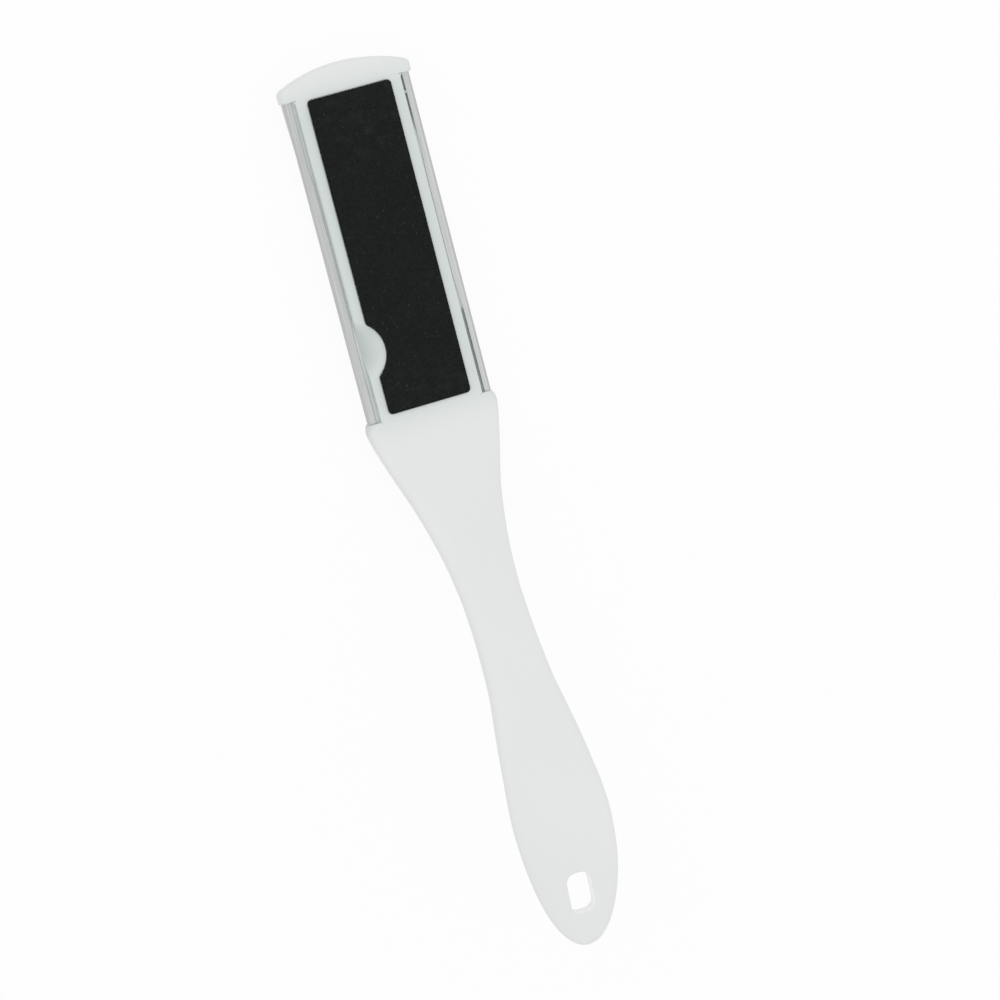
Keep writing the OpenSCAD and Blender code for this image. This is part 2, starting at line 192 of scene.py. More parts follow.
def oval(angle, half_w, half_t, mid, power, sag):
    """Points of a lofted section at the given angles, as x and height."""
    c, s = np.cos(angle), np.sin(angle)
    size = (np.abs(c) ** power + np.abs(s) ** power) ** (1 / power)
    px, py = c / size, s / size
    return half_w * px * (1 - DRAFT_SHARE * py ** 2), mid + half_t * py + sag * px ** 2 * np.maximum(-py, 0)


def half_width(u):
    wide = np.where(u < NECK_SHARE, (SHOULDER_W - NECK_W) * along(SHOULDER_SHARES, u),
                    (TAIL_W - NECK_W) * along(TAIL_SHARES, np.minimum(u, WIDE_SHARE)))
    end = np.sqrt(np.maximum(1 - (np.maximum(u - WIDE_SHARE, 0) / (1 - WIDE_SHARE)) ** 2, 0))
    corner = (SHOULDER_STEP - FIT_GAP) * np.maximum(1 - u * HANDLE_L / SHOULDER_ROUND, 0) ** 2
    return np.maximum(TIP_FLAT, (NECK_W + wide) / 2 * end - corner)


def half_thick(u):
    end = np.sqrt(np.maximum(1 - (np.maximum(u * HANDLE_L - HANDLE_L + TIP_L, 0) / TIP_L) ** 2, 0))
    thick = (NECK_T + (HEAD_T - NECK_T) * (1 - ease(u * HANDLE_L / BLEND_L))
             + (TAIL_T - NECK_T) * ease((u - NECK_SHARE) / (1 - NECK_SHARE)))
    return np.maximum(TIP_FLAT, thick / 2 * end)


def middle(u):
    return HEAD_T / 2 + RISE * along(RISE_SHARES, u)


def handle_oval(angle, u, inset=0.0):
    """The handle's section at a share u of its length, with each point moved in by inset."""
    b = 1 - ease(u * HANDLE_L / BLEND_L)
    power = NECK_POWER + (HEAD_POWER - NECK_POWER) * b
    sag = b * SHOULDER_W ** 2 / CROWN_R / 8
    return oval(angle, half_width(u) - inset, half_thick(u) - inset, middle(u), power, sag)


# Meshes: angle in degrees from which an edge stays sharp
SMOOTH_A = 35


def shade(mesh, smooth=SMOOTH_A):
    """Smooth shading, but for edges sharper than an angle in degrees."""
    mesh.shade_smooth()
    mesh.set_sharp_from_angle(angle=math.radians(smooth))


def finish_mesh(name, bm, material, smooth=SMOOTH_A):
    mesh = bpy.data.meshes.new(name)
    bm.to_mesh(mesh)
    bm.free()
    mesh.materials.append(material)
    shade(mesh, smooth)
    piece = bpy.data.objects.new(name, mesh)
    bpy.context.scene.collection.objects.link(piece)
    return piece


def to_bmesh(points, faces, weld=WELD):
    """A mesh in metres from points in millimetres, its height measured from the sheet's crown."""
    placed = (np.asarray(points, float) + (0, 0, RIM_H)) * MM
    mesh = bpy.data.meshes.new("draft")
    mesh.from_pydata(placed.tolist(), [], [list(f) for f in faces])
    bm = bmesh.new()
    bm.from_mesh(mesh)
    bpy.data.meshes.remove(mesh)
    bmesh.ops.remove_doubles(bm, verts=bm.verts, dist=weld * MM)
    bmesh.ops.dissolve_degenerate(bm, edges=bm.edges, dist=FINE_WELD * MM)
    bmesh.ops.recalc_face_normals(bm, faces=bm.faces)
    return bm


def loft_faces(rings, count, first=0):
    """Quads between rings of count points that follow each other."""
    r = np.arange(rings - 1)[:, None] * count + first
    i = np.arange(count)[None, :]
    j = (i + 1) % count
    return np.stack([r + i, r + j, r + count + j, r + count + i], -1).reshape(-1, 4).tolist()


def zip_faces(upper, lower, x):
    """Triangles between two chains of points that both run the same way across."""
    faces, i, j = [], 0, 0
    while i < len(upper) - 1 or j < len(lower) - 1:
        if j == len(lower) - 1 or (i < len(upper) - 1 and x[upper[i + 1]] <= x[lower[j + 1]]):
            faces.append([upper[i], upper[i + 1], lower[j]])
            i += 1
        else:
            faces.append([upper[i], lower[j + 1], lower[j]])
            j += 1
    return [f for f in faces if len(set(f)) == 3]


def closed_loft(rings, weld=WELD):
    """A closed mesh over rings that follow each other, with a flat face at either end."""
    n, last = len(rings[0]), (len(rings) - 1) * len(rings[0])
    faces = loft_faces(len(rings), n) + [list(range(n))[::-1], list(range(last, last + n))]
    return to_bmesh([p for ring in rings for p in ring], faces, weld)


# Head section, right half, from the middle of the face round to the middle of the ceiling, with numbers of
# points along the face, along the part of it by its edge, along the ceiling and round the face's edge
TOP_N, EDGE_N, CEILING_N, CORNER_N = 32, 10, 20, 4
half = [(0.0, HEAD_T)] + line((0, HEAD_T), (ROLL_FROM - 1, HEAD_T), TOP_N - EDGE_N)
half += line(half[-1], (FACE_HALF - FACE_EDGE, HEAD_T), EDGE_N)
half += arc((FACE_HALF - FACE_EDGE, HEAD_T - FACE_EDGE), FACE_EDGE, 90, 0, CORNER_N)[1:]
half += line(half[-1], (FACE_HALF, GROOVE_Z), 1)
FLOOR_FROM = len(half) - 1
half += line(half[-1], (LEDGE_EDGE, GROOVE_Z), 2)
FLOOR_TO = len(half) - 1
half += line(half[-1], (LEDGE_EDGE, LEDGE_Z), 1)
half += line(half[-1], (SHEET_HALF - LIP_BEND_R, LEDGE_Z), 2)
LEDGE_END = len(half) - 1
corner_r = LIP_BEND_R - CORE_GAP
half += arc((SHEET_HALF - LIP_BEND_R, LEDGE_Z - corner_r), corner_r, 90, 0, 6)[1:]
half += line(half[-1], (CORE_HALF, BEND_Z), 6)
half += arc((SHEET_HALF - LOW_BEND_R, BEND_Z), LOW_BEND_R - CORE_GAP, 0, math.degrees(CROWN_A) - 90, 8)[1:]
foot_x = np.linspace(half[-1][0], CHIP_HALF, 5)[1:]
half += [(x, CROWN_R - math.sqrt((CROWN_R - CORE_GAP) ** 2 - x * x)) for x in foot_x]
FOOT_END = len(half) - 1
half += line(half[-1], (CHIP_HALF, SLAB_Z), 2)
half += line(half[-1], (0, SLAB_Z), CEILING_N)
half = np.array(half)
HALF_N = len(half)


def mirrored(values, sign=-1):
    """A whole ring's values from its right half."""
    return np.concatenate([values, sign * values[-2:0:-1]])


RING_N = 2 * HALF_N - 2
head_x, head_z = mirrored(half[:, 0]), mirrored(half[:, 1], 1)
# None on the face, and full past its rounded edge
edge_weight = mirrored(ease((np.arange(HALF_N) - TOP_N) / CORNER_N), 1)


def matching_angles(half_w, power, sag):
    """Angles at which a plain section's points face the head section's points."""
    dense = np.radians(np.linspace(90, -90, SEARCH_N))
    x, z = oval(dense, half_w, HEAD_T / 2, HEAD_T / 2, power, sag)
    clear = math.radians(SEARCH_CLEAR)
    top, low = dense > clear, dense < -clear
    want = half[:LEDGE_END + 1, 0].copy()
    want[TOP_N + 1:FLOOR_FROM] = np.linspace(want[TOP_N], FACE_HALF, CORNER_N + 1)[1:]
    want[FLOOR_FROM:FLOOR_FROM + 4] = np.linspace(FACE_HALF, LEDGE_EDGE, 5)[1:]
    above = np.interp(want, x[top], dense[top])
    inner = EVEN_SHARE * CHIP_HALF
    below_x = np.concatenate([[CHIP_HALF], np.linspace(CHIP_HALF, inner, 3)[1:],
                              np.linspace(inner, 0, CEILING_N + 1)[1:]])
    below = np.interp(-below_x, -x[low], dense[low])
    start, end = above[-1], below[0]
    part = (dense <= start) & (dense >= end)
    a, px, pz = dense[part], x[part], z[part]
    step = np.hypot(np.diff(px), np.diff(pz))
    turn = np.abs(np.diff(np.unwrap(np.arctan2(np.diff(pz), np.diff(px)))))
    turn = np.append(turn, turn[-1])
    share = step / step.sum() + turn / turn.sum() + 1 / len(step)
    grown = np.concatenate([[0], np.cumsum(share)])
    n = FOOT_END - LEDGE_END
    round_side = np.interp(np.linspace(0, grown[-1], n + 1), grown, a)[1:-1]
    return np.concatenate([above, round_side, below])


def scoop_depth(x, y):
    """How deep the finger scoop cuts the raised face at a place, steeper at its end towards the cap."""
    reach = NOTCH_X + NOTCH_R + FACE_HALF
    tilt = math.atan2(SCOOP_D, reach)
    lift = SCOOP_R - np.sqrt(np.maximum(SCOOP_R ** 2 - (y - NOTCH_Y) ** 2, 0))
    if y > NOTCH_Y:
        lift = SCOOP_D * ((y - NOTCH_Y) / SCOOP_END_L) ** SCOOP_END_POWER
    depth = (NOTCH_X + NOTCH_R - x) * math.tan(tilt) - lift / math.cos(tilt)
    soft_depth = (depth + np.sqrt(depth ** 2 + SCOOP_SOFT ** 2)) / 2
    return soft_depth * ease((depth + SCOOP_RIM) / SCOOP_FADE)


def between(y, a, b, c, d):
    """Rises from 0 to 1 between a and b, and falls back between c and d."""
    return ease((y - a) / (b - a)) * ease((d - y) / (d - c))


def lean(x, y, z):
    """Leans the sides of the head in, more towards the crowned back, and not at all at the cap."""
    low = 1 - np.clip((z - BEND_Z) / (LIP_Z - LIP_BEND_R - BEND_Z), 0, 1)
    return x * (1 - WALL_LEAN * ease((CAP_Y - y) / LEAN_L) * low / SHEET_HALF)


def rise_lift(y):
    """How much the face stands above its creased form near the shoulder, where it starts to rise."""
    d, r = SHOULDER_Y - y, RISE_FILLET
    slope = RISE * RISE_SHARES[1][1] / RISE_SHARES[1][0] / HANDLE_L
    return slope * ((d + r) ** 2 / (4 * r) - max(d, 0)) if abs(d) < r else 0.0


def head_ring(y):
    """The head's section at a place along it, with the rails' ends, the left rail's wear and the scoop."""
    x, z = head_x.copy(), head_z.copy()
    right = np.arange(1, FLOOR_FROM + 1)
    left = RING_N - right

    def outer_share(away):
        return np.clip((away - ROLL_FROM) / (FACE_HALF - ROLL_FROM), 0, 1)

    t = min(max((y - CAP_Y + SWEEP_L) / SWEEP_L, 0), 1)
    grow = (LEDGE_EDGE - FIT_GAP - FACE_HALF) * (1 - math.sqrt(1 - t * t))
    share = outer_share(x[right])
    x[right] += grow * share
    x[left] -= grow * share
    for k in (FLOOR_FROM + 1, RING_N - FLOOR_FROM - 1):
        x[k] += grow / 2 * np.sign(x[k])
    x[left] += NARROW_D * ease((NOTCH_Y - NARROW_FROM - y) / NARROW_L) * outer_share(-x[left])
    rolled = float(between(y, *ROLL_SPAN))
    edge = left[:-1]
    z[edge] -= ROLL_D * rolled * outer_share(-x[edge]) ** 2
    floor = np.arange(FLOOR_FROM, FLOOR_TO + 1)
    z[floor] = LIP_Z - RIGHT_FLOOR + RIGHT_LIFT * float(between(y, *RIGHT_FLOOR_SPAN))
    floor = RING_N - floor
    z[floor] = LIP_Z - LEFT_FLOOR - LEFT_DIP * rolled
    slot_x = LIP_EDGE - float(lip_spring(-1, y)) - SLOT_IN
    x[floor[1:]] = -max(slot_x, SLOT_LEAST - x[floor[0]])
    z[floor[2]] -= SLOT_D * (1 - ease((y - CAP_Y + SLOT_FROM) / SLOT_FADE))
    if abs(y - NOTCH_Y) < SCOOP_REACH:
        depth = scoop_depth(np.maximum(x[edge], FACE_EDGE - FACE_HALF), y)
        z[edge] = np.maximum(z[edge] - depth, z[floor[0]] + SCOOP_FLOOR)
    z += rise_lift(y) * (1 - edge_weight)
    return np.stack([lean(x, y, z), np.full(RING_N, y), z], 1)


def flat_face(z, y):
    """Flattens a handle ring's front near the shoulder, and joins it to the head's face."""
    share = (1 - ease((SHOULDER_Y - y) / FLAT_L)) * (1 - edge_weight)
    return z + (z.max() - z) * share + rise_lift(y) * (1 - edge_weight)


def cap_end(x):
    return TIP_Y - CAP_R + np.sqrt(CAP_R ** 2 - x * x)


def body_rings():
    """Rings of the whole moulding, from the cap's end to the tail."""
    rings = []
    sag = CAP_W ** 2 / CROWN_R / 8
    angle = mirrored(matching_angles(CAP_W / 2, HEAD_POWER, sag), 1)
    side = mirrored(np.ones(HALF_N), -1)

    def cap_ring(inset):
        x, z = oval(angle, CAP_W / 2 - inset, HEAD_T / 2 - inset, HEAD_T / 2, HEAD_POWER, sag)
        return x * side, z

    for a in np.radians(np.linspace(90, 0, CAP_EDGE_N)):
        x, z = cap_ring(CAP_EDGE_R * (1 - math.cos(a)))
        rings.append(np.stack([x, cap_end(x) - CAP_EDGE_R * (1 - math.sin(a)), z], 1))
    x, z = cap_ring(0)
    for t in (0.25, 0.5, 0.75):
        rings.append(np.stack([x, (cap_end(x) - CAP_EDGE_R) * (1 - t) + (CAP_Y + CAP_FOOT_EDGE) * t, z], 1))
    for a in np.radians(np.linspace(0, 90, CAP_FOOT_N)):
        x, z = cap_ring(CAP_FOOT_EDGE * (1 - math.cos(a)) * edge_weight)
        rings.append(np.stack([x, np.full(RING_N, CAP_Y + CAP_FOOT_EDGE * (1 - math.sin(a))), z], 1))
    near = NOTCH_Y + np.linspace(-SCOOP_NEAR, SCOOP_NEAR, SCOOP_N)
    sweep = CAP_Y - SWEEP_L * np.sin(np.linspace(0, math.pi / 2, SWEEP_N))
    places = np.concatenate([sweep, np.linspace(sweep[-1] - 1, near[-1] + 1, HEAD_N), near[::-1],
                             np.linspace(near[0] - 1, SHOULDER_Y, LOW_HEAD_N)])
    rings += [head_ring(y) for y in places]
    angle = mirrored(matching_angles(SHOULDER_W / 2, HEAD_POWER, SHOULDER_W ** 2 / CROWN_R / 8), 1)
    for a in np.radians(np.linspace(90, 0, SHOULDER_N)):
        x, z = handle_oval(angle, 0.0, SHOULDER_EDGE * (1 - math.cos(a)) * edge_weight)
        y = SHOULDER_Y - SHOULDER_EDGE * (1 - math.sin(a))
        ring = np.stack([x * side, np.full(RING_N, y), flat_face(z, y)], 1)
        if y == SHOULDER_Y:
            ring[edge_weight == 0] = rings[-1][edge_weight == 0]
        rings.append(ring)
    shares = (1 - np.cos(np.linspace(0, math.pi, HANDLE_N))) / 2
    for u in shares[shares * HANDLE_L > SHOULDER_EDGE + RING_GAP]:
        x, z = handle_oval(angle, u)
        y = SHOULDER_Y - u * HANDLE_L
        rings.append(np.stack([x * side, np.full(RING_N, y), flat_face(z, y)], 1))
    return rings


def body_mesh():
    rings = body_rings()
    points = np.concatenate(rings)
    faces = loft_faces(len(rings), RING_N)
    for first in (0, (len(rings) - 1) * RING_N):
        x = points[first:first + RING_N, 0]
        right, left = int(np.argmax(x)), int(np.argmin(x))
        upper = [first + i % RING_N for i in range(left, RING_N + right + 1)]
        lower = [first + i for i in range(left, right - 1, -1)]
        faces += zip_faces(upper, lower, points[:, 0])
    return to_bmesh(points, faces)


def pad_outline(grow, n=8):
    """Outline of the abrasive sheet, grown by a margin."""
    x, r, f = PAD_W / 2 + grow, PAD_R + grow, NOTCH_FILLET_R + grow
    low, high, nr = PAD_LOW - grow + r, PAD_HIGH + grow - r, NOTCH_R - grow
    fx = f - x
    dy = math.sqrt((nr + f) ** 2 - (fx - NOTCH_X) ** 2)
    b = math.degrees(math.atan2(dy, fx - NOTCH_X))
    return (arc((x - r, low), r, -90, 0, n) + arc((x - r, high), r, 0, 90, n)
            + arc((r - x, high), r, 90, 180, n) + arc((fx, NOTCH_Y + dy), f, 180, 180 + b, n)
            + arc((NOTCH_X, NOTCH_Y), nr, b, -b, 4 * n) + arc((fx, NOTCH_Y - dy), f, 180 - b, 180, n)
            + arc((r - x, low), r, 180, 270, n))


def seat_cutter():
    """The seat's recess, with a softened rim."""
    ladder = ((SEAT_GAP, SEAT_Z), (SEAT_GAP, HEAD_T - 0.8 * SEAT_EDGE),
              (SEAT_GAP + SEAT_EDGE, HEAD_T + 0.2 * SEAT_EDGE), (SEAT_GAP + SEAT_EDGE, HEAD_T + 1))
    return closed_loft([[(x, y, z) for x, y in pad_outline(grow)] for grow, z in ladder], FINE_WELD)


def skin_height(x, y, side):
    """Height of the handle's front (side 1) or back (side -1) at a place."""
    u = (SHOULDER_Y - y) / HANDLE_L
    reach = min(abs(x) / float(half_width(u)), SKIN_SHARE)
    return float(middle(u) + side * half_thick(u) * (1 - reach ** NECK_POWER) ** (1 / NECK_POWER))


def hang_outline(grow):
    """Outline of the hanging hole, grown by a margin."""
    w, l, r = HANG_W / 2 + grow, HANG_L / 2 + grow, HANG_R + grow
    corners = ((1, -1, -90), (1, 1, 0), (-1, 1, 90), (-1, -1, 180))
    return [p for sx, sy, a in corners
            for p in arc((sx * (w - r), HANG_Y + sy * (l - r)), r, a, a + 90, HANG_N)]


def hang_cutter():
    """The hanging hole, its rims rounded along the handle's curved front and back."""
    rings = []
    turns = [math.radians(a) for a in (22, 36, 50, 64, 78, 90)]
    rim = [(HOLE_EDGE * (1 - math.sin(a)), HOLE_EDGE * (1 - math.cos(a))) for a in turns]
    start = rim[0][1]
    for side in (1, -1):
        ladder = [(rim[0][0], -CUT_OVER)] + [(grow, drop - start) for grow, drop in rim]
        rows = [[(x, y, skin_height(x, y, side) - side * drop) for x, y in hang_outline(grow)]
                for grow, drop in ladder]
        rings += rows if side == 1 else rows[::-1]
    return closed_loft(rings, FINE_WELD)


def cut(piece, cutter_bm, label):
    """Cuts a shape out of a piece."""
    cutter = finish_mesh(label, cutter_bm, piece.data.materials[0])
    change = piece.modifiers.new(label, "BOOLEAN")
    change.operation, change.solver, change.object = "DIFFERENCE", "EXACT", cutter
    bpy.context.view_layer.update()
    made = bpy.data.meshes.new_from_object(piece.evaluated_get(bpy.context.evaluated_depsgraph_get()))
    piece.modifiers.clear()
    piece.data = made
    bpy.data.objects.remove(cutter)


def rounded_block(low, high, bevel):
    """A small moulded block with rounded edges."""
    x, y = (low[0], high[0]), (low[1], high[1])
    corners = ((x[0], y[0]), (x[1], y[0]), (x[1], y[1]), (x[0], y[1]))
    bm = closed_loft([[(a, b, z) for a, b in corners] for z in (low[2], high[2])])
    bmesh.ops.bevel(bm, geom=bm.edges[:], offset=bevel * MM, segments=3, profile=0.5, affect="EDGES")
    return bm


def join_into(piece, extra):
    """Adds more meshes to a piece."""
    bm = bmesh.new()
    bm.from_mesh(piece.data)
    for part in extra:
        mesh = bpy.data.meshes.new("extra")
        part.to_mesh(mesh)
        part.free()
        bm.from_mesh(mesh)
        bpy.data.meshes.remove(mesh)
    bm.to_mesh(piece.data)
    bm.free()
    shade(piece.data)


def rib_mesh(y):
    """An arched rib between the side walls, under the rasp sheet."""
    reach = CHIP_HALF + RIB_SINK
    x = np.linspace(-reach, reach, RIB_N)
    arch = [(a, CROWN_R - math.sqrt((CROWN_R - CORE_GAP) ** 2 - a * a)) for a in x]
    shape = arch + [(reach, SLAB_Z + RIB_ROOT), (-reach, SLAB_Z + RIB_ROOT)]
    return closed_loft([[(a, y + s * RIB_T / 2, z) for a, z in shape] for s in (-1, 1)])


def make_body(material):
    body = finish_mesh("moulded_body", body_mesh(), material)
    cut(body, seat_cutter(), "seat_cut")
    cut(body, hang_cutter(), "hang_cut")
    step = SHEET_L / (RIB_COUNT + 1)
    extra = [rib_mesh(SHOULDER_Y + step * (i + 1)) for i in range(RIB_COUNT)]
    nib_y, nib_z = CAP_Y - NIB_PLACE, GROOVE_Z + GROOVE_D * NIB_SHARE
    extra.append(rounded_block((FACE_HALF - FACE_EDGE, nib_y - NIB_L / 2, GROOVE_Z - FIT_GAP),
                               ((LIP_EDGE + LEDGE_EDGE) / 2, nib_y + NIB_L / 2, nib_z), NIB_EDGE))
    join_into(body, extra)
    return body


# Rasp sheet: lengths of its stretches from the middle of the crown outwards, then the steps between holes
CROWN_L = CROWN_R * CROWN_A
BEND_L = LOW_BEND_R * (math.pi / 2 - CROWN_A)
WALL_L = LIP_Z - LIP_BEND_R - BEND_Z
LIP_TURN_L = LIP_BEND_R * math.pi / 2
LIP_FLAT_L = LIP_W - LIP_BEND_R
STEP_S = 2 * CROWN_L / HOLE_COLS
STEP_Y = (SHEET_L - PUNCH_LOW - PUNCH_HIGH) / (HOLE_ROWS - 1)
# Middle column, place of the first row, and points along a side of a hole's tile
MID_COL, FIRST_Y, TILE_N = (HOLE_COLS - 1) / 2, SHOULDER_Y + PUNCH_LOW, HOLE_N // 4


def lip_spring(sign, y):
    """How far a lip's edge stands in from its straight line, on the side with this sign."""
    left = (LEFT_SPRING + LEFT_FAR * ease((CAP_Y - LEFT_FAR_FROM - y) / SPRING_FADE)
            + LEFT_BULGE * between(y, *LEFT_LIP_SPAN))
    right = (RIGHT_SPRING + RIGHT_BULGE * between(y, *RIGHT_LIP_SPAN)
             + RIGHT_NEAR * ease((y - CAP_Y + RIGHT_NEAR_FROM) / SPRING_FADE))
    return np.where(sign < 0, left, right)


def sheet_point(s, y, depth):
    """A place on the bent sheet: s along its outer skin from the middle, y along the head, depth in."""
    s, y, depth = (np.asarray(v, float) for v in np.broadcast_arrays(s, y, depth))
    sign, t = np.sign(s), np.abs(s)
    a = np.minimum(t, CROWN_L) / CROWN_R
    x, z = CROWN_R * np.sin(a), CROWN_R * (1 - np.cos(a))
    nx, nz = np.sin(a), -np.cos(a)
    b = CROWN_A - math.pi / 2 + np.clip(t - CROWN_L, 0, BEND_L) / LOW_BEND_R
    bent = t > CROWN_L
    x = np.where(bent, SHEET_HALF - LOW_BEND_R + LOW_BEND_R * np.cos(b), x)
    z = np.where(bent, BEND_Z + LOW_BEND_R * np.sin(b) + np.clip(t - CROWN_L - BEND_L, 0, WALL_L), z)
    nx, nz = np.where(bent, np.cos(b), nx), np.where(bent, np.sin(b), nz)
    start = CROWN_L + BEND_L + WALL_L
    c = np.clip(t - start, 0, LIP_TURN_L) / LIP_BEND_R
    turned = t > start
    flat = np.maximum(t - start - LIP_TURN_L, 0) * (1 + lip_spring(sign, y) / LIP_FLAT_L)
    x = np.where(turned, SHEET_HALF - LIP_BEND_R * (1 - np.cos(c)) - flat, x)
    z = np.where(turned, LIP_Z - LIP_BEND_R * (1 - np.sin(c)), z)
    nx, nz = np.where(turned, np.cos(c), nx), np.where(turned, np.sin(c), nz)
    z = z - depth * nz
    return np.stack([sign * lean(x - depth * nx, y, z), y, z], -1)


def grid_quads(n, rows):
    """Quads between rows of n points."""
    k = (np.arange(rows - 1)[:, None] * n + np.arange(n - 1)).ravel()
    return np.stack([k, k + 1, k + n + 1, k + n], 1)


def punched_tiles(add):
    """Every hole, with its rim, its bore and the diamond of sheet round it on both skins."""
    rng = np.random.RandomState(RIM_SEED)
    cols, rows = np.meshgrid(np.arange(HOLE_COLS), np.arange(HOLE_ROWS))
    holed = (cols + rows) % 2 == 0
    s0, y0 = (cols[holed] - MID_COL) * STEP_S, FIRST_Y + rows[holed] * STEP_Y
    count = len(s0)
    turn = np.arange(HOLE_N) * 2 * math.pi / HOLE_N
    quarter, part = np.arange(HOLE_N) // TILE_N, np.arange(HOLE_N) % TILE_N / TILE_N
    corner_s, corner_y = np.array([1, 0, -1, 0, 1]), np.array([0, 1, 0, -1, 0])
    edge_s = STEP_S * (corner_s[quarter] * (1 - part) + corner_s[quarter + 1] * part)
    edge_y = STEP_Y * (corner_y[quarter] * (1 - part) + corner_y[quarter + 1] * part)
    phase = rng.uniform(0, 2 * math.pi, (count, 1))
    lobes = rng.uniform(LOBE_LOW, LOBE_HIGH, (count, 1))
    height = RIM_H * (RIM_MEAN + lobes * np.cos(2 * turn[None, :] + phase))
    even, deep = np.zeros((count, HOLE_N)), np.full((count, HOLE_N), SHEET_T)

    def ring(r, depth):
        return r * np.cos(turn), r * np.sin(turn), depth

    def add_rings(rings):
        s, y = (np.stack([start[:, None] + r[k] for r in rings], 1) for k, start in enumerate((s0, y0)))
        n = len(rings)
        quads = [f for h in range(count) for f in loft_faces(n, HOLE_N, h * n * HOLE_N)]
        add(s, y, np.stack([r[2] for r in rings], 1), quads)

    rim = [ring(HOLE_R + out, -share * height) for out, share in RIM_SHARES]
    add_rings(rim + [(edge_s, edge_y, even)])
    add_rings([ring(HOLE_R, deep), (edge_s, edge_y, deep)])
    add_rings([rim[0], ring(HOLE_R, deep)])


def half_tiles(add, depth):
    """Triangles that fill the staggered edge of the punched tiles, on one skin."""
    k = np.arange(TILE_N + 1) / TILE_N
    fan = [[0, i, i + 1] for i in range(1, TILE_N + 1)]
    for c in range(-1, HOLE_COLS + 1):
        for r in range(-1, HOLE_ROWS + 1):
            if (c + r) % 2 or (0 <= c < HOLE_COLS and 0 <= r < HOLE_ROWS):
                continue
            for ds, dy in ((-1, -1), (-1, 1), (1, -1), (1, 1)):
                if -1 <= c + ds <= HOLE_COLS and -1 <= r + dy <= HOLE_ROWS:
                    s = (np.concatenate([[c], c + ds * (1 - k)]) - MID_COL) * STEP_S
                    y = FIRST_Y + np.concatenate([[r], r + dy * k]) * STEP_Y
                    add(s, y, depth, fan)


def make_sheet(material):
    points, faces = [], []

    def add(s, y, depth, shapes):
        first = sum(len(p) for p in points)
        points.append(sheet_point(s, y, depth).reshape(-1, 3))
        faces.extend((np.asarray(shapes) + first).tolist())

    punched_tiles(add)
    col_s = (np.arange(-1, HOLE_COLS + 1) - MID_COL) * STEP_S
    row_y = FIRST_Y + np.arange(-1, HOLE_ROWS + 1) * STEP_Y
    low_y = np.linspace(SHOULDER_Y + END_GAP, row_y[0], END_N)
    high_y = np.linspace(row_y[-1], CAP_Y - END_GAP, END_N)
    all_y = np.concatenate([low_y[:-1], row_y, high_y[1:]])
    stops = [col_s[-1], *np.cumsum([CROWN_L + BEND_L, WALL_L, LIP_TURN_L, LIP_FLAT_L])]
    stretches = [np.linspace(a, b, n)[1:] for a, b, n in zip(stops, stops[1:], SIDE_COUNTS)]
    side_s = np.concatenate([stops[:1], *stretches])
    for depth in (0.0, SHEET_T):
        for across, lengthwise in ((side_s, all_y), (-side_s, all_y), (col_s, low_y), (col_s, high_y)):
            s, y = np.meshgrid(across, lengthwise)
            add(s, y, depth, grid_quads(len(across), len(lengthwise)))
        half_tiles(add, depth)
    loop_s = np.concatenate([-side_s[::-1], col_s[1:-1], side_s])
    for s, y in ((loop_s, all_y[0]), (loop_s, all_y[-1]), (side_s[-1], all_y), (-side_s[-1], all_y)):
        s, y = np.broadcast_arrays(s, y)
        depth = np.repeat([[0.0], [SHEET_T]], len(s), 1)
        add(np.stack([s, s]), np.stack([y, y]), depth, grid_quads(len(s), 2))
    sheet_bm = to_bmesh(np.concatenate(points), faces, SHEET_WELD)
    return finish_mesh("rasp_steel_sheet", sheet_bm, material, smooth=40)


# Abrasive sheet
def make_pad(material):
    rng = np.random.RandomState(GRIT_SEED)
    base, top = SEAT_Z + FILM_T, SEAT_Z + FILM_T + PAD_T
    outer, inner = pad_outline(0, 10), pad_outline(-PAD_EDGE, 10)
    nx, ny = int(PAD_W / GRIT_STEP), int((PAD_HIGH - PAD_LOW) / GRIT_STEP)
    gx, gy = np.meshgrid(np.linspace(-PAD_W / 2, PAD_W / 2, nx), np.linspace(PAD_LOW, PAD_HIGH, ny))
    seeds = np.stack([gx.ravel(), gy.ravel()], 1) + rng.uniform(-GRIT_SHIFT, GRIT_SHIFT, (gx.size, 2))
    sx, sy = seeds.T
    away = np.hypot(sx - NOTCH_X, sy - NOTCH_Y)
    clear = PAD_EDGE + GRIT_CLEAR
    inside = (np.abs(sx) < PAD_W / 2 - clear) & (away > NOTCH_R + clear)
    seeds = seeds[inside & (sy > PAD_LOW + clear) & (sy < PAD_HIGH - clear)]
    flat = [Vector(p) for p in inner] + [Vector(p) for p in seeds.tolist()]
    n = len(inner)
    border = [(i, (i + 1) % n) for i in range(n)]
    verts, _, tris, origin, _, _ = geometry.delaunay_2d_cdt(flat, border, [], 1, 1e-6)
    grit = GRIT_D * rng.uniform(0, 1, len(verts)) ** GRIT_POWER
    top_points = []
    for i, v in enumerate(verts):
        on_rim = any(k < n for k in origin[i])
        top_points.append((v.x, v.y, top - (RIM_DROP if on_rim else grit[i])))
    side = [(x, y, z) for loop, z in ((outer, base), (outer, top - GRIT_D), (inner, top - RIM_DROP))
            for x, y in loop]
    first = len(side)
    faces = loft_faces(3, n) + [list(range(n))[::-1]] + [[first + i for i in t] for t in tris]
    pad_bm = to_bmesh(side + top_points, faces, GRIT_WELD)
    return finish_mesh("abrasive_grit", pad_bm, material, smooth=60)


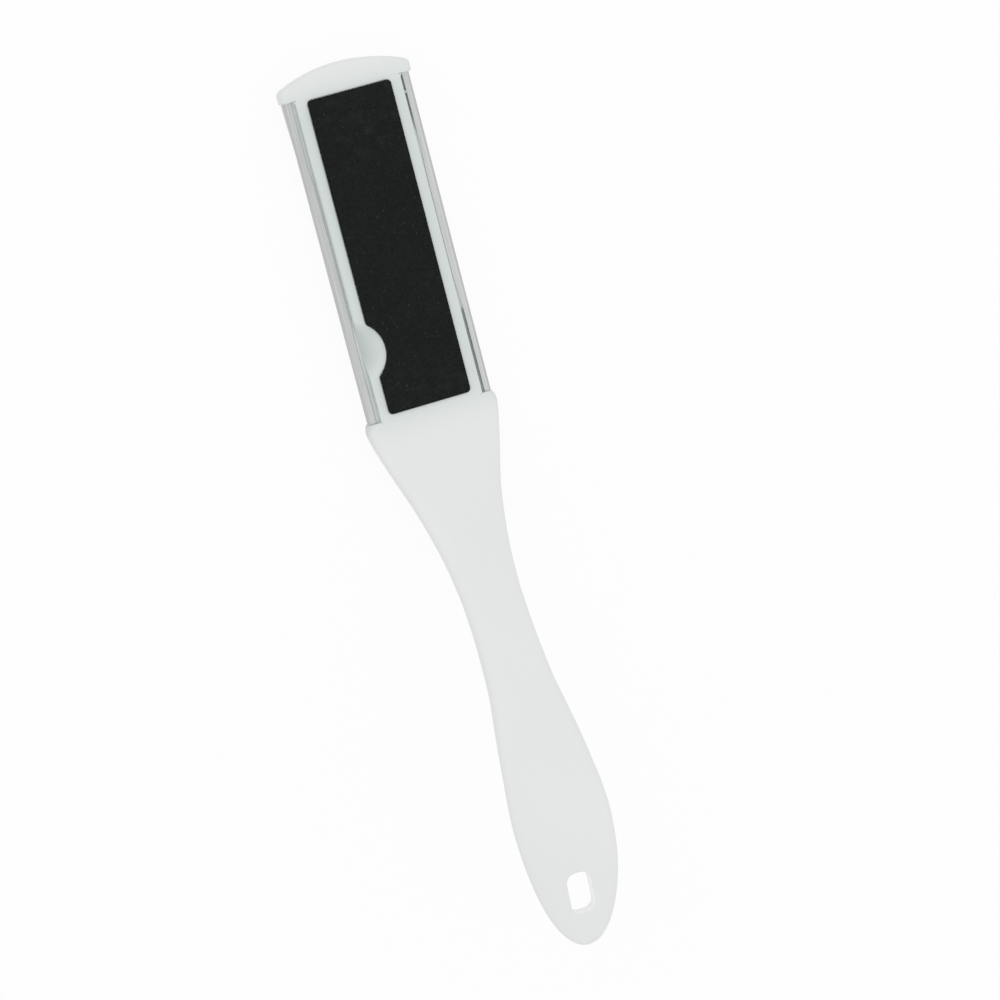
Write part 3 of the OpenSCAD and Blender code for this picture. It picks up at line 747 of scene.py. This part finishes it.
# Materials
# Plastic: two shades each of the thick parts and of the thin head, the thin head's being darker as painted
# shade of light passing through it, then painted shade in the grooves and the hollow, and painted light on
# the wall of the hanging hole
THICK_SHADES = ((0.768, 0.784, 0.776), (0.782, 0.796, 0.789))
THIN_HEAD_SHADED = ((0.63, 0.685, 0.67), (0.645, 0.695, 0.68))
GROOVE_SHADE, HOLLOW_SHADE, HOLE_LIGHT = (0.02, 0.06, 0.05), (0.34, 0.36, 0.355), (0.93, 0.94, 0.935)
GROOVE_SHARE, GROOVE_POWER, GROOVE_LEAST = 0.34, 1.3, 0.3
# How far from the hanging hole's outline, in mm, the painted light on its wall starts to fade and has gone,
# and how far from the shoulder and the cap the hollow's painted shade stays
HOLE_LIGHT_FROM, HOLE_LIGHT_TO, END_MARGIN = 0.05, 0.4, 0.05
# Places in metres where its painted shades start and end: along the file, then by height in the grooves
THIN_FROM, THIN_TO, GROOVE_SHADE_TO = (0.018, 0.036), (0.1135, 0.125), (0.1175, 0.119)
GROOVE_RANGE, FLOOR_TOP, FLOOR_FOOT = (0.0066, 0.0081), (0.00655, 0.00668), (0.0061, 0.0063)
HOLLOW_TOP = 0.0046
# Steel: two shades along the brushing, painted shade at the punched rims' feet and a painted highlight on
# their tops
STEEL_SHADES = ((0.465, 0.48, 0.475), (0.54, 0.555, 0.55))
RIM_FOOT_SHADE, RIM_TOP_HIGHLIGHT, FOOT_SHADE_SHARE = (0.2, 0.21, 0.208), (0.84, 0.85, 0.85), 0.6
# Heights over the sheet's skin, in metres, where the feet's painted shade starts and ends and the tops'
# painted highlight starts
FOOT_FROM, FOOT_TO, TOP_FROM = (0.000003, 0.00003), (0.00007, 0.00011), (0.0001, 0.00017)
# Grit: two dull shades, its paler blotches and painted glints on a few grains
DULL_SHADES = ((0.0045, 0.006, 0.0056), (0.009, 0.0115, 0.011))
BLOTCH, GRIT_GLINT = (0.019, 0.022, 0.021), (0.045, 0.05, 0.048)
# Adhesive: two shades
FILM_SHADES = ((0.55, 0.54, 0.49), (0.68, 0.67, 0.62))


def material(name, colour, roughness, metallic=0.0):
    made = bpy.data.materials.new(name)
    made.use_nodes = True
    made.diffuse_color = (*colour, 1)
    shader = made.node_tree.nodes["Principled BSDF"]
    shader.inputs["Base Color"].default_value = (*colour, 1)
    shader.inputs["Roughness"].default_value = roughness
    shader.inputs["Metallic"].default_value = metallic
    return made, shader


class Graph:
    """Short calls for building a material's nodes on the object's own coordinates."""

    def __init__(self, made):
        self.tree = made.node_tree
        self.place = self.add("ShaderNodeTexCoord").outputs["Object"]

    def add(self, kind, inputs=(), **settings):
        node = self.tree.nodes.new(kind)
        for key, value in settings.items():
            setattr(node, key, value)
        for key, value in dict(inputs).items():
            if isinstance(value, bpy.types.NodeSocket):
                self.link(value, node.inputs[key])
            else:
                node.inputs[key].default_value = value
        return node

    def link(self, output, target):
        self.tree.links.new(output, target)

    def axes(self):
        split = self.add("ShaderNodeSeparateXYZ", {"Vector": self.place})
        return [split.outputs[k] for k in "XYZ"]

    def stretched(self, scale):
        return self.add("ShaderNodeMapping", {"Vector": self.place, "Scale": scale}).outputs["Vector"]

    def noise(self, scale, detail=2.0, vector=None):
        inputs = {"Vector": vector or self.place, "Scale": scale, "Detail": detail}
        return self.add("ShaderNodeTexNoise", inputs).outputs["Fac"]

    def remap(self, value, low, high, to_low=0.0, to_high=1.0, smooth=False):
        kind = "SMOOTHSTEP" if smooth else "LINEAR"
        inputs = {"Value": value, "From Min": low, "From Max": high, "To Min": to_low, "To Max": to_high}
        return self.add("ShaderNodeMapRange", inputs, interpolation_type=kind).outputs["Result"]

    def math(self, kind, a, b=0.0):
        return self.add("ShaderNodeMath", {0: a, 1: b}, operation=kind).outputs[0]

    def mix(self, share, a, b):
        """Mixes two colours, each of them a socket or three numbers."""
        a, b = ((*c, 1) if isinstance(c, tuple) else c for c in (a, b))
        return self.add("ShaderNodeMix", {0: share, 6: a, 7: b}, data_type="RGBA").outputs[2]

    def times(self, *factors):
        product = factors[0]
        for factor in factors[1:]:
            product = self.math("MULTIPLY", product, factor)
        return product

    def bump(self, height, strength, distance):
        inputs = {"Height": height, "Strength": strength, "Distance": distance}
        return self.add("ShaderNodeBump", inputs).outputs["Normal"]


def plastic_material():
    made, shader = material("white_plastic", (0.775, 0.79, 0.782), 0.42)
    g = Graph(made)
    x, y, z = g.axes()
    into_head = g.remap(y, *THIN_FROM, smooth=True)
    # The thin head's darker tones are painted shade of light passing through it
    thin = g.times(into_head, g.remap(y, *THIN_TO, 1.0, 0.0))
    cloud = g.remap(g.noise(28.0, 3.0), 0.35, 0.65)
    shade = g.mix(thin, g.mix(cloud, *THICK_SHADES), g.mix(cloud, *THIN_HEAD_SHADED))
    # Painted shade in the grooves and the finger scoop, set by height
    groove = g.math("POWER", g.math("SUBTRACT", 1.0, g.remap(z, *GROOVE_RANGE)), GROOVE_POWER)
    floor = g.math("MAXIMUM", g.remap(z, *FLOOR_TOP, GROOVE_LEAST, 1.0),
                   g.remap(z, *FLOOR_FOOT, 1.0, GROOVE_LEAST))
    groove_shade = g.times(groove, floor, into_head, g.remap(y, *GROOVE_SHADE_TO, 1.0, 0.0))
    shade = g.mix(g.times(groove_shade, GROOVE_SHARE), shade, GROOVE_SHADE)
    # Painted light on the wall of the hanging hole
    past_x = g.math("SUBTRACT", g.math("ABSOLUTE", x), (HANG_W / 2 - HANG_R) * MM)
    from_middle = g.math("ABSOLUTE", g.math("SUBTRACT", y, HANG_Y * MM))
    past_y = g.math("SUBTRACT", from_middle, (HANG_L / 2 - HANG_R) * MM)
    squares = [g.math("POWER", g.math("MAXIMUM", past, 0.0), 2.0) for past in (past_x, past_y)]
    from_hole = g.math("SQRT", g.math("ADD", *squares))
    hole_light = g.remap(from_hole, (HANG_R + HOLE_LIGHT_FROM) * MM, (HANG_R + HOLE_LIGHT_TO) * MM, 1.0, 0.0)
    shade = g.mix(hole_light, shade, HOLE_LIGHT)
    # Painted shade on the plastic inside the hollow, seen through the sheet's holes
    past_shoulder = g.math("GREATER_THAN", y, (SHOULDER_Y + END_MARGIN) * MM)
    short_of_cap = g.math("LESS_THAN", y, (CAP_Y - END_MARGIN) * MM)
    inside = g.times(past_shoulder, short_of_cap, g.math("LESS_THAN", z, HOLLOW_TOP))
    g.link(g.mix(inside, shade, HOLLOW_SHADE), shader.inputs["Base Color"])
    g.link(g.remap(g.noise(240.0, 4.0), 0.3, 0.7, 0.33, 0.43), shader.inputs["Roughness"])
    g.link(g.bump(g.noise(2600.0, 2.0), 0.12, 0.00004), shader.inputs["Normal"])
    return made


def steel_material():
    made, shader = material("rasp_steel", (0.53, 0.545, 0.54), 0.5, 1.0)
    g = Graph(made)
    streak = g.noise(1.0, 4.0, g.stretched((2600, 60, 2600)))
    broad = g.noise(1.0, 3.0, g.stretched((420, 16, 420)))
    tone = g.math("ADD", g.times(streak, 0.6), g.times(broad, 0.4))
    brushed = g.mix(g.remap(tone, 0.36, 0.64), *STEEL_SHADES)
    x, y, z = g.axes()
    widest = 1 / (1 - WALL_LEAN / SHEET_HALF)
    unlean = g.remap(y, (CAP_Y - LEAN_L) * MM, CAP_Y * MM, widest, 1.0, smooth=True)
    across = g.math("POWER", g.times(x, unlean), 2.0)
    down = g.math("POWER", g.math("SUBTRACT", (CROWN_R + RIM_H) * MM, z), 2.0)
    above = g.math("SUBTRACT", g.math("SQRT", g.math("ADD", across, down)), CROWN_R * MM)
    # Painted shade at the punched rims' feet
    foot = g.times(g.remap(above, *FOOT_FROM), g.remap(above, *FOOT_TO, 1.0, 0.0), FOOT_SHADE_SHARE)
    brushed = g.mix(foot, brushed, RIM_FOOT_SHADE)
    # Painted highlight on the punched rims' tops
    g.link(g.mix(g.remap(above, *TOP_FROM), brushed, RIM_TOP_HIGHLIGHT), shader.inputs["Base Color"])
    g.link(g.remap(streak, 0.3, 0.7, 0.28, 0.38), shader.inputs["Roughness"])
    g.link(g.bump(streak, 0.2, 0.00002), shader.inputs["Normal"])
    return made


def grit_material():
    made, shader = material("black_grit", (0.004, 0.0045, 0.0042), 0.7)
    shader.inputs["Specular IOR Level"].default_value = 0.12
    g = Graph(made)
    cells = g.add("ShaderNodeTexVoronoi", {"Vector": g.place, "Scale": 3600.0})
    pick = g.add("ShaderNodeSeparateColor", {"Color": cells.outputs["Color"]})
    dull = g.mix(pick.outputs["Green"], *DULL_SHADES)
    broad, patchy = g.remap(g.noise(45.0, 2.0), 0.4, 0.65), g.remap(g.noise(420.0, 4.0), 0.45, 0.7)
    dull = g.mix(g.times(broad, patchy, 0.5), dull, BLOTCH)
    # Painted glints on a few grains
    glint = g.remap(pick.outputs["Red"], 0.993, 0.999)
    g.link(g.mix(glint, dull, GRIT_GLINT), shader.inputs["Base Color"])
    g.link(g.remap(pick.outputs["Blue"], 0.0, 1.0, 0.5, 0.9), shader.inputs["Roughness"])
    g.link(g.bump(cells.outputs["Distance"], 0.7, 0.00012), shader.inputs["Normal"])
    return made


def film_material():
    made, shader = material("adhesive", (0.62, 0.61, 0.56), 0.5)
    g = Graph(made)
    cloud = g.noise(700.0, 3.0)
    g.link(g.mix(cloud, *FILM_SHADES), shader.inputs["Base Color"])
    g.link(g.bump(cloud, 0.3, 0.00005), shader.inputs["Normal"])
    return made


# Pieces
body = make_body(plastic_material())
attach(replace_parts(body, "handle_body"), "root")
sheet = make_sheet(steel_material())
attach(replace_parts(sheet, "rasp_sheet"), "root")
pad = make_pad(grit_material())
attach(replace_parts(pad, "abrasive_sheet"), "root")
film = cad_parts["adhesive_film"]
film.data.materials.clear()
film.data.materials.append(film_material())


# Stage, in metres and watts: floor's half width and drop, its share of plain white, and the world's level
FLOOR_HALF, FLOOR_DROP, FLOOR_WHITE, WORLD_LEVEL = 3.0, 0.0002, 0.92, 0.88
LAMPS = {"key": ((-0.5, 0.6, 1.2), 2.0), "fill": ((0.7, -0.4, 1.1), 1.0)}
LAMP_SIZE = 1.0
# Camera: place, and the directions to the right and up in its picture, with the lens in mm
CAMERA_PLACE, CAMERA_RIGHT = (-0.1862, 0.1607, 0.88465), (0.93407, -0.24733, 0.25755)
CAMERA_UP, CAMERA_LENS = (0.2834, 0.95228, -0.11333), 117.7


def white_where_seen(tree, lit, share):
    """Mixes plain white into what the camera, mirrors and clear things see, over the lit shader."""
    nodes, links = tree.nodes, tree.links
    path = nodes.new("ShaderNodeLightPath")
    seen = path.outputs["Is Camera Ray"]
    for other in ("Is Glossy Ray", "Is Transmission Ray"):
        most = nodes.new("ShaderNodeMath")
        most.operation = "MAXIMUM"
        links.new(seen, most.inputs[0])
        links.new(path.outputs[other], most.inputs[1])
        seen = most.outputs[0]
    scaled = nodes.new("ShaderNodeMath")
    scaled.operation = "MULTIPLY"
    scaled.inputs[1].default_value = share
    links.new(seen, scaled.inputs[0])
    mixed = nodes.new("ShaderNodeMixShader")
    links.new(scaled.outputs[0], mixed.inputs[0])
    links.new(lit, mixed.inputs[1])
    return mixed


def make_floor():
    made = bpy.data.materials.new("pale_floor")
    made.use_nodes = True
    nodes, links = made.node_tree.nodes, made.node_tree.links
    shader = nodes["Principled BSDF"]
    shader.inputs["Base Color"].default_value = (0.86, 0.86, 0.86, 1)
    shader.inputs["Roughness"].default_value = 0.9
    shader.inputs["Specular IOR Level"].default_value = 0.0
    glow = nodes.new("ShaderNodeEmission")
    glow.inputs["Color"].default_value = (1, 1, 1, 1)
    mixed = white_where_seen(made.node_tree, shader.outputs[0], FLOOR_WHITE)
    links.new(glow.outputs[0], mixed.inputs[2])
    links.new(mixed.outputs[0], nodes["Material Output"].inputs["Surface"])
    bm = bmesh.new()
    bmesh.ops.create_grid(bm, x_segments=4, y_segments=4, size=FLOOR_HALF)
    bmesh.ops.translate(bm, verts=bm.verts, vec=(0, 0, -FLOOR_DROP))
    finish_mesh("floor", bm, made)


def make_world(level):
    world = bpy.data.worlds.new("studio")
    bpy.context.scene.world = world
    world.use_nodes = True
    nodes, links = world.node_tree.nodes, world.node_tree.links
    soft = nodes["Background"]
    soft.inputs["Color"].default_value = (1, 1, 1, 1)
    soft.inputs["Strength"].default_value = level
    plain = nodes.new("ShaderNodeBackground")
    plain.inputs["Color"].default_value = (1, 1, 1, 1)
    plain.inputs["Strength"].default_value = 1.0
    mixed = white_where_seen(world.node_tree, soft.outputs[0], 1.0)
    links.new(plain.outputs[0], mixed.inputs[2])
    links.new(mixed.outputs[0], nodes["World Output"].inputs["Surface"])


def make_lamp(name, place, watts):
    """A square soft lamp that faces the middle of the scene."""
    lamp = bpy.data.lights.new(name, "AREA")
    lamp.shape, lamp.size, lamp.size_y, lamp.energy = "RECTANGLE", LAMP_SIZE, LAMP_SIZE, watts
    holder = bpy.data.objects.new(name, lamp)
    holder.location = place
    holder.rotation_euler = (-Vector(place)).to_track_quat("-Z", "Y").to_euler()
    bpy.context.scene.collection.objects.link(holder)


def make_camera():
    camera = bpy.data.cameras.new("camera")
    camera.sensor_width = 36.0
    camera.lens = CAMERA_LENS
    camera.clip_start, camera.clip_end = 0.05, 20.0
    holder = bpy.data.objects.new("camera", camera)
    right, up = Vector(CAMERA_RIGHT), Vector(CAMERA_UP)
    turned = Matrix((right, up, right.cross(up))).transposed().to_4x4()
    holder.matrix_world = Matrix.Translation(CAMERA_PLACE) @ turned
    bpy.context.scene.collection.objects.link(holder)
    bpy.context.scene.camera = holder


make_floor()
make_world(WORLD_LEVEL)
for name, (place, watts) in LAMPS.items():
    make_lamp(name, place, watts)
make_camera()
bpy.context.scene.view_settings.view_transform = "Standard"
